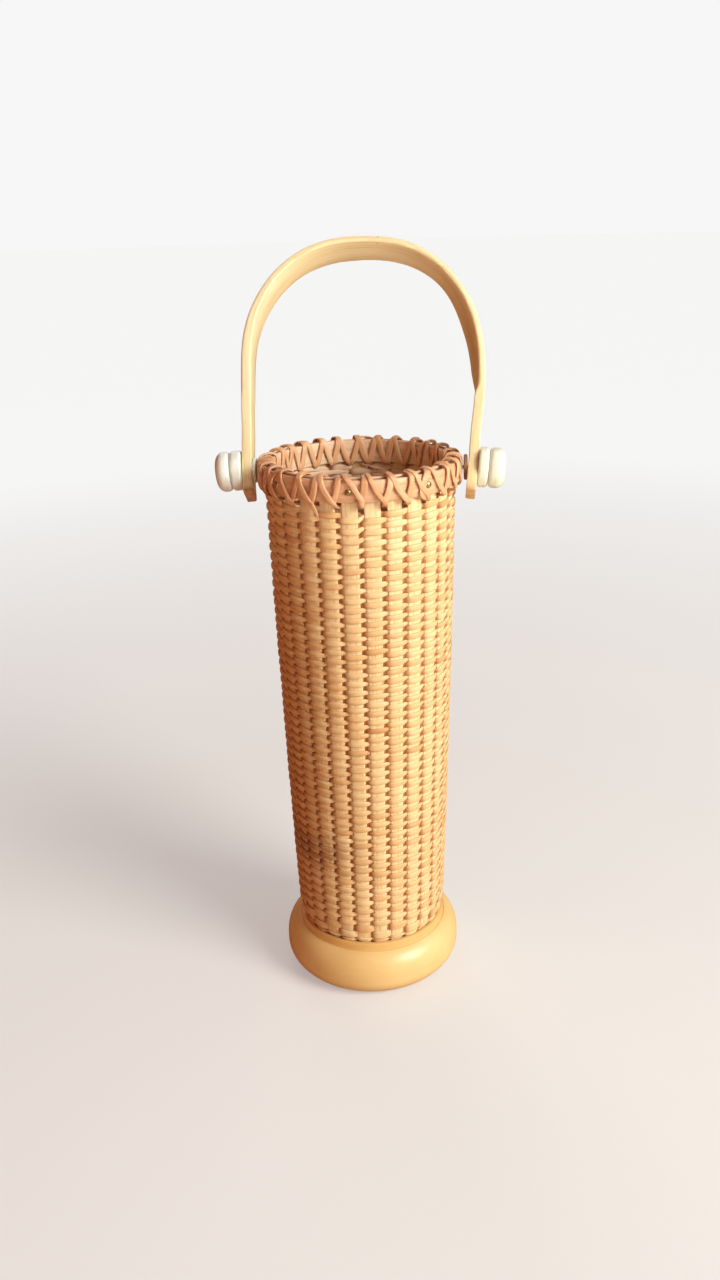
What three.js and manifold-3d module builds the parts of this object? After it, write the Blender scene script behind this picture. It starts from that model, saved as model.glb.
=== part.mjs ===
// Tall round basket: cane woven over thin flat staves that stand in a turned wooden base,
// a rim of two hoops nailed and lashed over the stave tops, and a bent swing handle on two pins.
// Millimetres, +Z up. The origin is the middle of the underside of the base, +X runs along the pins.

import * as THREE from 'three';
import { mergeVertices } from 'three/addons/utils/BufferGeometryUtils.js';
import Module from 'manifold-3d';

const wasm = await Module();
wasm.setup();

// Clearance that every piece keeps to its seat, and what a cutting tool runs past the cut
const seatGap = 0.3;
const cutOverrun = 3;

// Base: one turned block, a fat round foot below a low sloping collar with a groove for the staves
const footFlare = 7.8;
const footWidestHeight = 11;
const footRoundWidth = 12;
const footCrownRise = 20.8;
const creaseHeight = 28.8;
const collarHeight = 31;
const collarLedge = 0.4;
const grooveDepth = 6;

// Wall: the weave's outer radius over a stave, its thickness there and the furrows between staves
const weaveFootRadius = 41.2;
const weaveTopRadius = 47.5;
const weaveBelly = 0.56;
const footTuck = 1.6;
const footTuckHeight = 8;
const wallThickness = 3.6;
const furrowDepth = 0.9;

// Staves
const staveCount = 27;
const staveThickness = 1.2;
const staveFootWidth = 6.2;
const staveTopWidth = 7.4;

// Rim
const rimHeight = 289.6;
const hoopHeight = 10.3;
const innerHoopRise = 0.6;
const innerHoopHeight = 11.8;
const bareStaveHeight = 4.6;
const outerHoopThickness = 2.3;
const innerHoopThickness = 2.4;
const hoopRound = 1.1;
const lashingWidth = 2.1;
const lashingThickness = 0.7;
const lashingCornerCut = 1.1;

// Nails through the hoops
const nailHeadRadius = 1.3;
const nailHeadHeight = 0.6;
const nailShankRadius = 0.5;
const nailLength = 4.8;

// Handle: a bent band whose arms thicken into flat ears at the pins
const armStandOff = 6.95;
const archFlare = 2.7;
const archFootHeight = 45.4;
const archHeight = 123.7;
const armDrop = 14.8;
const earTopHeight = 38;
const earBlend = 6;
const earThickness = 4.8;
const armThickness = 4.6;
const earWidth = 13.5;
const bandThickness = 3.5;
const bandWidth = 18.5;
const earEndRound = 0.8;
const handleLeanDegrees = 35;

// Pins, washers and knobs
const pinRadius = 0.9;
const pinHeadRadius = 2.2;
const pinHeadHeight = 1.2;
const pinBoreDepth = 8;
const washerRadius = 6.2;
const washerThickness = 0.8;
const washerClearance = 0.45;
const knobRadius = 9.8;
const knobInnerDisc = 5.1;
const knobOuterDisc = 8.2;
const knobGrooveDepth = 1.9;
const knobEdgeRound = 2.4;

// Shares and counts
const furrowPowerShare = 3;
const armCurvePowerShare = 1.5;
const archSquareShare = 2.35;
const widthTaperShare = 0.85;
const sectionRoundShare = 0.32;
const cornerChordShare = 0.3;
const nailDomeShare = 0.85;
const pinDomeShare = 0.6;
const wallRingShares = [0.25, 0.5, 0.75];
const facetsPerStave = 4;
const turnedFacets = 54;
const knobFacets = 28;
const roundFacets = 12;
const holeFacets = 8;

// Heights and radii worked out from the sizes above
const pitch = (2 * Math.PI) / staveCount;
const weaveFoot = collarHeight + seatGap;
const rimFoot = rimHeight - hoopHeight;
const lashingLift = lashingThickness + seatGap;
const weaveTop = rimFoot - bareStaveHeight;
const innerHoopTop = rimHeight + innerHoopRise;
const innerHoopFoot = innerHoopTop - innerHoopHeight;
const pinHeight = rimHeight - hoopHeight / 2;
const staveTop = rimHeight - staveThickness;
const staveBottom = collarHeight - grooveDepth + seatGap;

// Outer radius of the weave over a stave, at a height above the table
function weaveRadius(height) {
  const rise = THREE.MathUtils.clamp((height - weaveFoot) / (weaveTop - weaveFoot), 0, 1);
  const tuckShare = THREE.MathUtils.clamp(1 - (height - weaveFoot) / footTuckHeight, 0, 1);
  const cone = THREE.MathUtils.lerp(weaveFootRadius, weaveTopRadius, rise);
  return cone + 4 * weaveBelly * rise * (1 - rise) - footTuck * tuckShare * tuckShare;
}

function staveRadius(height) {
  return weaveRadius(height) - wallThickness / 2;
}

function staveWidth(height) {
  const rise = THREE.MathUtils.clamp((height - weaveFoot) / (weaveTop - weaveFoot), 0, 1);
  return THREE.MathUtils.lerp(staveFootWidth, staveTopWidth, rise);
}

// Heights at which the wall and the staves are given a ring of points
function wallHeights(low, high) {
  const tuckTop = weaveFoot + footTuckHeight;
  const heights = [low];
  const bends = [weaveFoot, weaveFoot + footTuckHeight / 2, tuckTop];
  for (const share of wallRingShares) {
    bends.push(THREE.MathUtils.lerp(tuckTop, weaveTop, share));
  }
  bends.push(weaveTop);
  for (const bend of bends) {
    if (bend > low + seatGap && bend < high - seatGap) heights.push(bend);
  }
  heights.push(high);
  return heights;
}

// Radii of the rim, outwards from the staves that it clasps
const staveTopRadius = weaveTopRadius - wallThickness / 2;
const staveCornerRadius = Math.hypot(staveTopRadius + staveThickness / 2, staveTopWidth / 2);
const outerHoopInside = staveCornerRadius + seatGap;
const outerHoopOutside = outerHoopInside + outerHoopThickness;
const innerHoopOutside = staveTopRadius - staveThickness / 2 - seatGap;
const innerHoopInside = innerHoopOutside - innerHoopThickness;
const lashingInside = innerHoopInside - 2 * lashingLift;
const lashingOutside = outerHoopOutside + 2 * lashingLift;
const armSpread = lashingOutside + armStandOff;
const archSpread = armSpread + archFlare;

// Solids for joining and cutting
function solidOf(geometry) {
  const bare = geometry.clone();
  bare.deleteAttribute('normal');
  bare.deleteAttribute('uv');
  const merged = mergeVertices(bare);
  return new wasm.Manifold(new wasm.Mesh({
    numProp: 3,
    vertProperties: new Float32Array(merged.attributes.position.array),
    triVerts: new Uint32Array(merged.index.array),
  }));
}

function geometryOf(solid) {
  const mesh = solid.getMesh();
  const geometry = new THREE.BufferGeometry();
  geometry.setAttribute('position', new THREE.BufferAttribute(mesh.vertProperties, 3));
  geometry.setIndex(new THREE.BufferAttribute(mesh.triVerts, 1));
  geometry.computeVertexNormals();
  return geometry;
}

function cut(geometry, tools) {
  let solid = solidOf(geometry);
  for (const tool of tools) solid = solid.subtract(solidOf(tool));
  return geometryOf(solid);
}

// A closed solid through rings of points. Each station has a centre and two half-size vectors,
// whose cross product points along the run, and the outline is in shares of them.
function loft(stations, outline) {
  const points = [];
  for (const station of stations) {
    for (const [u, v] of outline) {
      const point = station.centre.clone();
      point.addScaledVector(station.u, u).addScaledVector(station.v, v);
      points.push(point.x, point.y, point.z);
    }
  }
  const sides = outline.length;
  const faces = [];
  for (let ring = 0; ring < stations.length - 1; ring += 1) {
    for (let side = 0; side < sides; side += 1) {
      const a = ring * sides + side;
      const b = ring * sides + ((side + 1) % sides);
      faces.push(a, b, b + sides, a, b + sides, a + sides);
    }
  }
  const last = (stations.length - 1) * sides;
  for (let side = 1; side < sides - 1; side += 1) {
    faces.push(0, side + 1, side);
    faces.push(last, last + side, last + side + 1);
  }
  const geometry = new THREE.BufferGeometry();
  geometry.setAttribute('position', new THREE.Float32BufferAttribute(points, 3));
  geometry.setIndex(faces);
  geometry.computeVertexNormals();
  return geometry;
}

const squareOutline = [[1, 1], [-1, 1], [-1, -1], [1, -1]];

// A revolved solid about +Z from a closed profile of [radius, height] pairs
function turned(profile, facets) {
  const points = profile.map(([radius, height]) => new THREE.Vector2(radius, height));
  return new THREE.LatheGeometry(points, facets).rotateX(Math.PI / 2);
}

// A round bar along the outward direction of an angle, from one radius to another
function radialBar(angle, height, radius, [from, to], facets) {
  const bar = new THREE.CylinderGeometry(radius, radius, to - from, facets);
  bar.rotateZ(-Math.PI / 2);
  bar.translate((from + to) / 2, 0, 0);
  return bar.rotateZ(angle).translate(0, 0, height);
}

// An arc of points on an ellipse, between two angles in degrees
function arc(centreRadius, centreHeight, width, rise, from, to, steps) {
  const points = [];
  for (let step = 0; step <= steps; step += 1) {
    const angle = THREE.MathUtils.degToRad(THREE.MathUtils.lerp(from, to, step / steps));
    points.push([centreRadius + width * Math.cos(angle), centreHeight + rise * Math.sin(angle)]);
  }
  return points;
}

// Base
function baseGeometry() {
  const roundCentre = weaveFootRadius + footFlare - footRoundWidth;
  const crownShare = (creaseHeight - footWidestHeight) / footCrownRise;
  const creaseAngle = THREE.MathUtils.radToDeg(Math.asin(crownShare));
  const creaseRadius = roundCentre + footRoundWidth * Math.cos(Math.asin(crownShare));
  const collarRadius = weaveRadius(weaveFoot) + collarLedge;
  const staveIn = staveRadius(weaveFoot) - staveThickness / 2;
  const staveOut = Math.hypot(staveIn + staveThickness, staveFootWidth / 2);
  const profile = [[0, 0]];
  profile.push(...arc(roundCentre, footWidestHeight, footRoundWidth, footWidestHeight, -90, 0, 6));
  const crown = arc(roundCentre, footWidestHeight, footRoundWidth, footCrownRise, 0, creaseAngle, 6);
  profile.push(...crown.slice(1));
  profile.push([collarRadius, collarHeight]);
  profile.push([staveOut + seatGap, collarHeight]);
  profile.push([staveOut + seatGap, collarHeight - grooveDepth]);
  profile.push([staveIn - seatGap, collarHeight - grooveDepth]);
  profile.push([staveIn - seatGap, collarHeight]);
  profile.push([0, collarHeight]);
  return turned(profile, turnedFacets);
}

// Wall of weave
function scallopedCore(inset, furrowSign, low, high) {
  const heights = wallHeights(low, high);
  const profile = [[0, low]];
  for (const height of heights) profile.push([weaveRadius(height) - inset, height]);
  profile.push([0, high]);
  const core = turned(profile, staveCount * facetsPerStave);
  const position = core.attributes.position;
  for (let i = 0; i < position.count; i += 1) {
    const radius = Math.hypot(position.getX(i), position.getY(i));
    if (radius < wallThickness) continue;
    const turns = Math.atan2(position.getY(i), position.getX(i)) / pitch;
    const offCentreShare = 2 * Math.abs(turns - Math.round(turns));
    const furrow = furrowSign * furrowDepth * offCentreShare ** furrowPowerShare;
    const scale = (radius - furrow) / radius;
    position.setX(i, position.getX(i) * scale);
    position.setY(i, position.getY(i) * scale);
  }
  return core;
}

// A stave, or with a clearance the slot that it stands in
function staveGeometry(number, low, high, clearance) {
  const outward = new THREE.Vector3(Math.cos(number * pitch), Math.sin(number * pitch), 0);
  const sideways = new THREE.Vector3(-outward.y, outward.x, 0);
  const stations = wallHeights(low, high).map((height) => ({
    centre: outward.clone().multiplyScalar(staveRadius(height)).setZ(height),
    u: outward.clone().multiplyScalar(staveThickness / 2 + clearance),
    v: sideways.clone().multiplyScalar(staveWidth(height) / 2 + clearance),
  }));
  return loft(stations, squareOutline);
}

function wallGeometry() {
  const outside = solidOf(scallopedCore(0, 1, weaveFoot, weaveTop));
  const inside = scallopedCore(wallThickness, -1, weaveFoot - cutOverrun, weaveTop + cutOverrun);
  let wall = outside.subtract(solidOf(inside));
  const slots = [];
  for (let number = 0; number < staveCount; number += 1) {
    slots.push(solidOf(staveGeometry(number, weaveFoot - cutOverrun, weaveTop + cutOverrun, seatGap)));
  }
  wall = wall.subtract(wasm.Manifold.union(slots));
  return geometryOf(wall);
}

// Rim hoops: the inner one flat, the outer one rounded on its face
function innerHoopGeometry() {
  const low = innerHoopFoot;
  const high = innerHoopTop;
  const round = hoopRound;
  const profile = [
    [innerHoopOutside, low],
    [innerHoopOutside, high],
    [innerHoopInside + round, high],
    [innerHoopInside, high - round],
    [innerHoopInside, low + round],
    [innerHoopInside + round, low],
    [innerHoopOutside, low],
  ];
  return turned(profile, turnedFacets);
}

function outerHoopGeometry() {
  const low = rimFoot;
  const high = rimHeight;
  const crownWidth = outerHoopThickness / 2;
  const crownCentre = outerHoopOutside - crownWidth;
  const middle = (low + high) / 2;
  const profile = [[outerHoopInside, low]];
  profile.push(...arc(crownCentre, middle, crownWidth, hoopHeight / 2, -90, 90, 5));
  profile.push([outerHoopInside, high], [outerHoopInside, low]);
  return turned(profile, turnedFacets);
}

// Lashing: one flat strand wound round both hoops, out through every gap between staves.
// The second strand goes the other way round, over the first.
const wrapStations = [
  { turnShare: 0.04, side: 1, level: -1, cutSide: 1, cutLevel: 0 },
  { turnShare: 0.1, side: 1, level: -1, cutSide: 0, cutLevel: 1 },
  { turnShare: 0.4, side: 1, level: 1, cutSide: 0, cutLevel: 1 },
  { turnShare: 0.46, side: 1, level: 1, cutSide: 1, cutLevel: 0 },
  { turnShare: 0.54, side: -1, level: 1, cutSide: 1, cutLevel: 0 },
  { turnShare: 0.6, side: -1, level: 1, cutSide: 0, cutLevel: 1 },
  { turnShare: 0.9, side: -1, level: -1, cutSide: 0, cutLevel: 1 },
  { turnShare: 0.96, side: -1, level: -1, cutSide: 1, cutLevel: 0 },
];

function lashingGeometry(direction, layer) {
  const lift = seatGap + lashingThickness / 2 + layer * lashingLift;
  const middleRadius = (outerHoopOutside + innerHoopInside) / 2;
  const halfWidth = (outerHoopOutside - innerHoopInside) / 2 + lift;
  const path = [];
  for (let wrap = 0; wrap < staveCount; wrap += 1) {
    for (const stop of wrapStations) {
      const cornerCut = lashingCornerCut + layer * lashingLift / 4;
      const radius = middleRadius + stop.side * (halfWidth - stop.cutSide * cornerCut);
      const edge = stop.level > 0 ? innerHoopTop : innerHoopFoot;
      const height = edge + stop.level * (lift - stop.cutLevel * cornerCut);
      const angle = direction * (wrap + 0.5 + stop.turnShare) * pitch;
      const facing = new THREE.Vector2(stop.side, stop.level).normalize();
      if (stop.cutSide) facing.set(stop.side / 2, stop.level).normalize();
      if (stop.cutLevel) facing.set(stop.side, stop.level / 2).normalize();
      path.push({ radius, height, angle, facing });
    }
  }
  const places = path.map(({ radius, height, angle }) => (
    new THREE.Vector3(radius * Math.cos(angle), radius * Math.sin(angle), height)
  ));
  const stations = path.map(({ angle, facing }, i) => {
    const before = places[Math.max(i - 1, 0)];
    const after = places[Math.min(i + 1, places.length - 1)];
    const run = after.clone().sub(before).normalize();
    const outward = new THREE.Vector3(Math.cos(angle), Math.sin(angle), 0).multiplyScalar(facing.x);
    outward.z = facing.y;
    const across = run.clone().cross(outward).normalize();
    const normal = across.clone().cross(run).normalize();
    return {
      centre: places[i],
      u: normal.multiplyScalar(lashingThickness / 2),
      v: across.multiplyScalar(lashingWidth / 2),
    };
  });
  return loft(stations, squareOutline);
}

// Nails: three on each side of the handle, as counts of the stave pitch from +X
const nailTurnsShares = [3, 6.5, 10, -10.5, -7, -3.5];

function nailGeometry() {
  const profile = [
    [0, nailHeadHeight],
    [nailHeadRadius / 2, nailHeadHeight * nailDomeShare],
    [nailHeadRadius, 0],
    [nailShankRadius, 0],
    [nailShankRadius, -nailLength],
    [0, -nailLength],
  ];
  return turned(profile.reverse(), holeFacets);
}

function nailTool(angle) {
  const reach = [outerHoopOutside - nailLength - 2 * seatGap, outerHoopOutside + cutOverrun];
  return radialBar(angle, pinHeight, nailShankRadius + seatGap, reach, holeFacets);
}

// Handle, drawn upright about the pins' axis
function earShare(height) {
  return 1 - THREE.MathUtils.smoothstep(height, earTopHeight - earBlend / 2, earTopHeight + earBlend / 2);
}

function armFace(height) {
  const drop = Math.max(archFootHeight - height, 0) / archFootHeight;
  return archSpread - archFlare * drop ** armCurvePowerShare;
}

function handleFacePoints() {
  const points = [];
  for (const height of [-armDrop, earEndRound - armDrop, 0, archFootHeight / 3]) {
    points.push(new THREE.Vector2(armFace(height), height));
  }
  for (const height of [earTopHeight - earBlend / 2, earTopHeight, earTopHeight + earBlend / 2]) {
    points.push(new THREE.Vector2(armFace(height), height));
  }
  const archRise = archHeight - archFootHeight;
  const steps = 12;
  for (let step = 1; step <= steps; step += 1) {
    const angle = (step / steps) * (Math.PI / 2);
    points.push(new THREE.Vector2(
      archSpread * Math.cos(angle) ** (2 / archSquareShare),
      archFootHeight + archRise * Math.sin(angle) ** (2 / archSquareShare),
    ));
  }
  points[points.length - 1].x = 0;
  const mirrored = points.slice(0, -1).reverse().map((point) => new THREE.Vector2(-point.x, point.y));
  return points.concat(mirrored);
}

function roundedOutline(cornerShare) {
  const outline = [];
  for (const [x, y] of [[1, 1], [-1, 1], [-1, -1], [1, -1]]) {
    const flatFirst = [x, y * (1 - cornerShare)];
    const flatLast = [x * (1 - cornerShare), y];
    const inShare = 1 - cornerChordShare * cornerShare;
    const middle = [x * inShare, y * inShare];
    const corner = [flatFirst, middle, flatLast];
    if (x * y < 0) corner.reverse();
    outline.push(...corner);
  }
  return outline;
}

function handleGeometry() {
  const face = handleFacePoints();
  const stations = face.map((point, i) => {
    const before = face[Math.max(i - 1, 0)];
    const after = face[Math.min(i + 1, face.length - 1)];
    const run = after.clone().sub(before).normalize();
    const ear = earShare(point.y);
    const isEnd = i === 0 || i === face.length - 1;
    const endShare = isEnd ? 1 - earEndRound / bandThickness : 1;
    const taper = THREE.MathUtils.smoothstep(point.y, 0, archHeight * widthTaperShare);
    const band = THREE.MathUtils.lerp(armThickness, bandThickness, taper ** 2);
    const thickness = THREE.MathUtils.lerp(band, earThickness, ear);
    const width = THREE.MathUtils.lerp(earWidth, bandWidth, taper);
    const outward = new THREE.Vector2(run.y, -run.x);
    const centre = point.clone().addScaledVector(outward, -thickness / 2);
    return {
      centre: new THREE.Vector3(centre.x, 0, centre.y),
      u: new THREE.Vector3(outward.x, 0, outward.y).multiplyScalar((thickness / 2) * endShare),
      v: new THREE.Vector3(0, 1, 0).multiplyScalar((width / 2) * endShare),
    };
  });
  const bent = loft(stations, roundedOutline(sectionRoundShare));
  const bore = pinRadius + seatGap;
  const reach = [armSpread - earThickness - cutOverrun, armSpread + cutOverrun];
  const tools = [0, Math.PI].map((angle) => radialBar(angle, 0, bore, reach, roundFacets));
  return cut(bent, tools);
}

// Pin: a round head inside the rim and a shank out through the ear into the knob
const pinHeadFace = lashingInside - seatGap;
const pinEnd = armSpread + seatGap + pinBoreDepth;

function pinGeometry() {
  const profile = [
    [0, pinHeadFace - pinHeadHeight],
    [pinHeadRadius * pinDomeShare, pinHeadFace - pinHeadHeight],
    [pinHeadRadius, pinHeadFace - pinHeadHeight / 2],
    [pinHeadRadius, pinHeadFace],
    [pinRadius, pinHeadFace],
    [pinRadius, pinEnd],
    [0, pinEnd],
  ];
  return turned(profile, roundFacets).rotateY(Math.PI / 2);
}

function washerGeometry() {
  const inner = lashingOutside + washerClearance;
  const bore = pinRadius + seatGap;
  const profile = [
    [bore, inner],
    [washerRadius, inner],
    [washerRadius, inner + washerThickness],
    [bore, inner + washerThickness],
    [bore, inner],
  ];
  return turned(profile, knobFacets).rotateY(Math.PI / 2);
}

// Knob: two turned discs with a groove between them, seated square on the slanting ear
function knobGeometry() {
  const grooveRadius = knobRadius - knobGrooveDepth;
  const edge = knobEdgeRound / 2;
  const end = knobInnerDisc + knobOuterDisc;
  const profile = [
    [0, 0],
    [knobRadius - edge, 0],
    [knobRadius, edge],
    [knobRadius, knobInnerDisc - edge],
    [knobRadius - edge / 2, knobInnerDisc - edge / 3],
    [grooveRadius, knobInnerDisc],
    [knobRadius - edge / 2, knobInnerDisc + edge / 3],
    [knobRadius, knobInnerDisc + edge],
  ];
  const round = knobEdgeRound;
  profile.push(...arc(knobRadius - round, end - round, round, round, 0, 90, 3), [0, end]);
  const slant = Math.atan2(armFace(seatGap) - armFace(-seatGap), 2 * seatGap);
  const knob = turned(profile, knobFacets).rotateY(Math.PI / 2 + slant);
  knob.translate(armSpread + seatGap, 0, 0);
  const reach = [armSpread - cutOverrun, pinEnd + seatGap];
  return cut(knob, [radialBar(0, 0, pinRadius + seatGap, reach, roundFacets)]);
}

// Materials, one for each piece
function finish(color, roughness, metalness = 0) {
  return new THREE.MeshStandardMaterial({ color, roughness, metalness });
}

const basket = new THREE.Group();

function add(parent, name, geometry, material) {
  const mesh = new THREE.Mesh(geometry, material);
  mesh.name = name;
  parent.add(mesh);
  return mesh;
}

const pinTools = [0, Math.PI].map((angle) => (
  radialBar(angle, pinHeight, pinRadius + seatGap, [pinHeadFace, pinEnd], roundFacets)
));
const nailTools = nailTurnsShares.map((turns) => nailTool(turns * pitch));

add(basket, 'base', baseGeometry(), finish('#d9a45c', 0.35));
add(basket, 'woven_wall', wallGeometry(), finish('#dcae72', 0.6));

for (let number = 0; number < staveCount; number += 1) {
  const stave = staveGeometry(number, staveBottom, staveTop, 0);
  const label = String(number + 1).padStart(2, '0');
  add(basket, `stave_${label}`, cut(stave, [...pinTools, ...nailTools]), finish('#e6c489', 0.55));
}

add(basket, 'inner_hoop', cut(innerHoopGeometry(), [...pinTools, ...nailTools]), finish('#c58a5c', 0.5));
add(basket, 'outer_hoop', cut(outerHoopGeometry(), [...pinTools, ...nailTools]), finish('#cf9565', 0.5));
add(basket, 'lashing_first_strand', lashingGeometry(1, 0), finish('#b9744a', 0.5));
add(basket, 'lashing_second_strand', lashingGeometry(-1, 1), finish('#b9744a', 0.5));

nailTurnsShares.forEach((turns, index) => {
  const nail = add(basket, `rim_nail_${index + 1}`, nailGeometry(), finish('#b08d3c', 0.3, 1));
  const angle = turns * pitch;
  const seat = outerHoopOutside + seatGap;
  nail.position.set(seat * Math.cos(angle), seat * Math.sin(angle), pinHeight);
  nail.rotation.set(0, Math.PI / 2, angle, 'ZYX');
});

// The handle leans back from upright, as it stands in use
const swing = new THREE.Group();
swing.position.z = pinHeight;
swing.rotation.x = -THREE.MathUtils.degToRad(handleLeanDegrees);
basket.add(swing);
add(swing, 'handle', handleGeometry(), finish('#e0b06a', 0.35));

for (const [side, turn] of [['right', 0], ['left', Math.PI]]) {
  const end = new THREE.Group();
  end.rotation.z = turn;
  swing.add(end);
  add(end, `${side}_pin`, pinGeometry(), finish('#b08d3c', 0.3, 1));
  add(end, `${side}_washer`, washerGeometry(), finish('#e9e2d0', 0.4));
  add(end, `${side}_knob`, knobGeometry(), finish('#f4efdd', 0.35));
}

export default basket;
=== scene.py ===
"""Looks of the tall woven basket: every strand of cane, stave and strap is real geometry.

Lengths are written in millimetres in the CAD frame and become metres when a mesh is made.
"""

import math

import bpy
import numpy as np
from mathutils import Matrix, Vector


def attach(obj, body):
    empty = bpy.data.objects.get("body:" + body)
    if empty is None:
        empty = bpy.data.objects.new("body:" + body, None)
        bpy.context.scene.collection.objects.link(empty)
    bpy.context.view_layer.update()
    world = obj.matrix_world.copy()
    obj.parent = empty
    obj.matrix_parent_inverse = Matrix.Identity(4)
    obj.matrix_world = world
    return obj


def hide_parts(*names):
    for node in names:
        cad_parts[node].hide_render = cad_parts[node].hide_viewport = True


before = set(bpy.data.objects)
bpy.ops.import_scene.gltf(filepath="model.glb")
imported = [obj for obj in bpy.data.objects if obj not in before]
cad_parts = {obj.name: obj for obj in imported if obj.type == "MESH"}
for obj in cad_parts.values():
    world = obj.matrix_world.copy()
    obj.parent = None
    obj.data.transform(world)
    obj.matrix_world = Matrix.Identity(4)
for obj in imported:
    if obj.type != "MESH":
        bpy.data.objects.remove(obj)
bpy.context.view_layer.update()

MM = 0.001
RNG = np.random.default_rng(11)

# Sizes shared with the CAD part, in millimetres. Heights of the handle count from the pins.
STAVES = 27
PITCH = 2 * math.pi / STAVES
WEAVE_FOOT = 31.3
WEAVE_TOP = 274.7
WEAVE_FOOT_R = 41.2
WEAVE_TOP_R = 47.5
WEAVE_BELLY = 0.56
FOOT_TUCK = 1.6
FOOT_TUCK_H = 8.0
WALL = 3.6
STAVE_T = 1.2
STAVE_BOTTOM = 25.4
STAVE_TOP = 288.3
COLLAR_H = 31.0
GROOVE_DEPTH = 6
SEAT_GAP = 0.3
RIM_FOOT = 279.3
RIM_TOP = 289.6
HOOP_IN = 46.75
HOOP_OUT = 49.05
INNER_OUT = 44.8
INNER_IN = 42.4
INNER_FOOT = 278.4
INNER_TOP = 290.2
NAIL_TURNS = (3, 6.5, 10, -10.5, -7, -3.5)
NAIL_SHANK_R = 0.5
PIN_Z = 284.45
PIN_R = 0.9
PIN_HEAD_R = 2.2
WASHER_R = 6.2
KNOB_R = 9.8
KNOB_GROOVE = 1.9
KNOB_LENGTH = 13.3
LEAN = math.radians(-35)
ARM_SPREAD = 58.0
ARCH_FLARE = 2.7
ARCH_FOOT = 45.4
ARCH_TOP = 123.7
ARM_DROP = 14.8
EAR_T = 4.8
EAR_W = 13.5
BAND_T = 3.5
BAND_W = 18.5

# Sizes read closer off the photo for the looks, in millimetres
STAVE_FOOT_W = 6.6
STAVE_TOP_W = 7.7
STAVE_GROOVE_W = 6.1
FOOT_CENTRE_R = 37.0
FOOT_BULGE = 12.0
FOOT_LOWER_H = 11
FOOT_UPPER_H = 14
CREASE_H = 26.93
INNER_ROUND = 0.9
RIM_MEAN_R = 47
RIM_MID = 284
STRAP_HALF_T = 0.46
STRAP_TO_PIN = 2.9
STRAP_TO_NAIL = 3.9
NAIL_HEAD_R = 1.65
NAIL_HEAD_H = 1.05
WASHER_FROM = 51.2
WASHER_TO = 52.85
PIN_HEAD_FROM = 38.8
PIN_HEAD_TO = 40.1
PIN_END = 66.3
RIGHT_KNOB_DISC = 5.1
LEFT_KNOB_DISC = 5.7
LEFT_ARM_T = 5.15
RIGHT_ARM_T = 3.7
RIGHT_ARM_TWIST = 0.2
STAIN_Z = 85

# Bent by hand: how far the band is moved, around which height and over what reach
FULLER_SHOULDERS = (0.75, 78, 26)
SLIMMER_EARS = (-0.45, 18, 11)
ARMS_TO_RIGHT = (1.15, 41, 27)
TOP_RAISED = (0.35, 124, 20)


# Mesh helpers

def piece(name, verts, faces, material, body, cad, attrs={}, sharp=40):
    """A mesh object from points in millimetres, riding on a body in the place of a CAD node."""
    mesh = bpy.data.meshes.new(name)
    mesh.from_pydata((np.asarray(verts) * MM).reshape(-1, 3).tolist(), [], faces)
    for key, values in attrs.items():
        layer = mesh.attributes.new(key, "FLOAT", "POINT")
        layer.data.foreach_set("value", np.asarray(values, dtype=np.float32).ravel())
    mesh.shade_smooth()
    if sharp:
        mesh.set_sharp_from_angle(angle=math.radians(sharp))
    mesh.materials.append(material)
    mesh.update()
    obj = bpy.data.objects.new(name, mesh)
    bpy.context.collection.objects.link(obj)
    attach(obj, body)
    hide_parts(cad)


def tube_faces(rings, sides, closed=False):
    """Quads along a run of rings, with flat caps where the run is open."""
    a = np.arange(rings - 1)[:, None] * sides + np.arange(sides)[None, :]
    b = np.arange(rings - 1)[:, None] * sides + (np.arange(sides)[None, :] + 1) % sides
    faces = np.stack([a, b, b + sides, a + sides], axis=-1).reshape(-1, 4).tolist()
    last = (rings - 1) * sides
    if closed:
        for i in range(sides):
            j = (i + 1) % sides
            faces.append([last + i, last + j, j, i])
    else:
        faces.append(list(reversed(range(sides))))
        faces.append([last + i for i in range(sides)])
    return faces


def lathe(profile, segments):
    """A revolved closed solid about +Z. The profile runs upwards on its outer side."""
    verts = []
    index = []
    for radius, height in profile:
        if radius == 0:
            index.append([len(verts)] * segments)
            verts.append((0.0, 0.0, height))
        else:
            index.append(list(range(len(verts), len(verts) + segments)))
            for k in range(segments):
                a = 2 * math.pi * k / segments
                verts.append((radius * math.cos(a), radius * math.sin(a), height))
    faces = []
    for low, high in zip(index[:-1], index[1:]):
        for k in range(segments):
            j = (k + 1) % segments
            corners = list(dict.fromkeys([low[k], low[j], high[j], high[k]]))
            if len(corners) > 2:
                faces.append(corners)
    return np.array(verts), faces


def ring_lathe(profile, segments):
    """A revolved ring from a closed section of (radius, height) points, run upwards outside."""
    profile = np.asarray(profile)
    angles = np.arange(segments) * 2 * math.pi / segments
    verts = np.empty((segments, len(profile), 3))
    verts[..., 0] = np.cos(angles)[:, None] * profile[None, :, 0]
    verts[..., 1] = np.sin(angles)[:, None] * profile[None, :, 0]
    verts[..., 2] = profile[None, :, 1]
    faces = [list(reversed(f)) for f in tube_faces(segments, len(profile), closed=True)]
    return verts, faces


def arc(cx, cy, rx, ry, a0, a1, steps):
    """Points on an ellipse between two angles in degrees."""
    out = []
    for i in range(steps + 1):
        a = math.radians(a0 + (a1 - a0) * i / steps)
        out.append((cx + rx * math.cos(a), cy + ry * math.sin(a)))
    return out


def rounded_box(half_u, half_v, corner, steps):
    """Outline of a rounded rectangle, anticlockwise in (u, v)."""
    corner = min(corner, half_u * 0.98, half_v * 0.98)
    out = []
    for cx, cy, a0 in ((1, 1, 0), (-1, 1, 90), (-1, -1, 180), (1, -1, 270)):
        centre = (cx * (half_u - corner), cy * (half_v - corner))
        out += arc(centre[0], centre[1], corner, corner, a0, a0 + 90, steps)
    return np.array(out)


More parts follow.
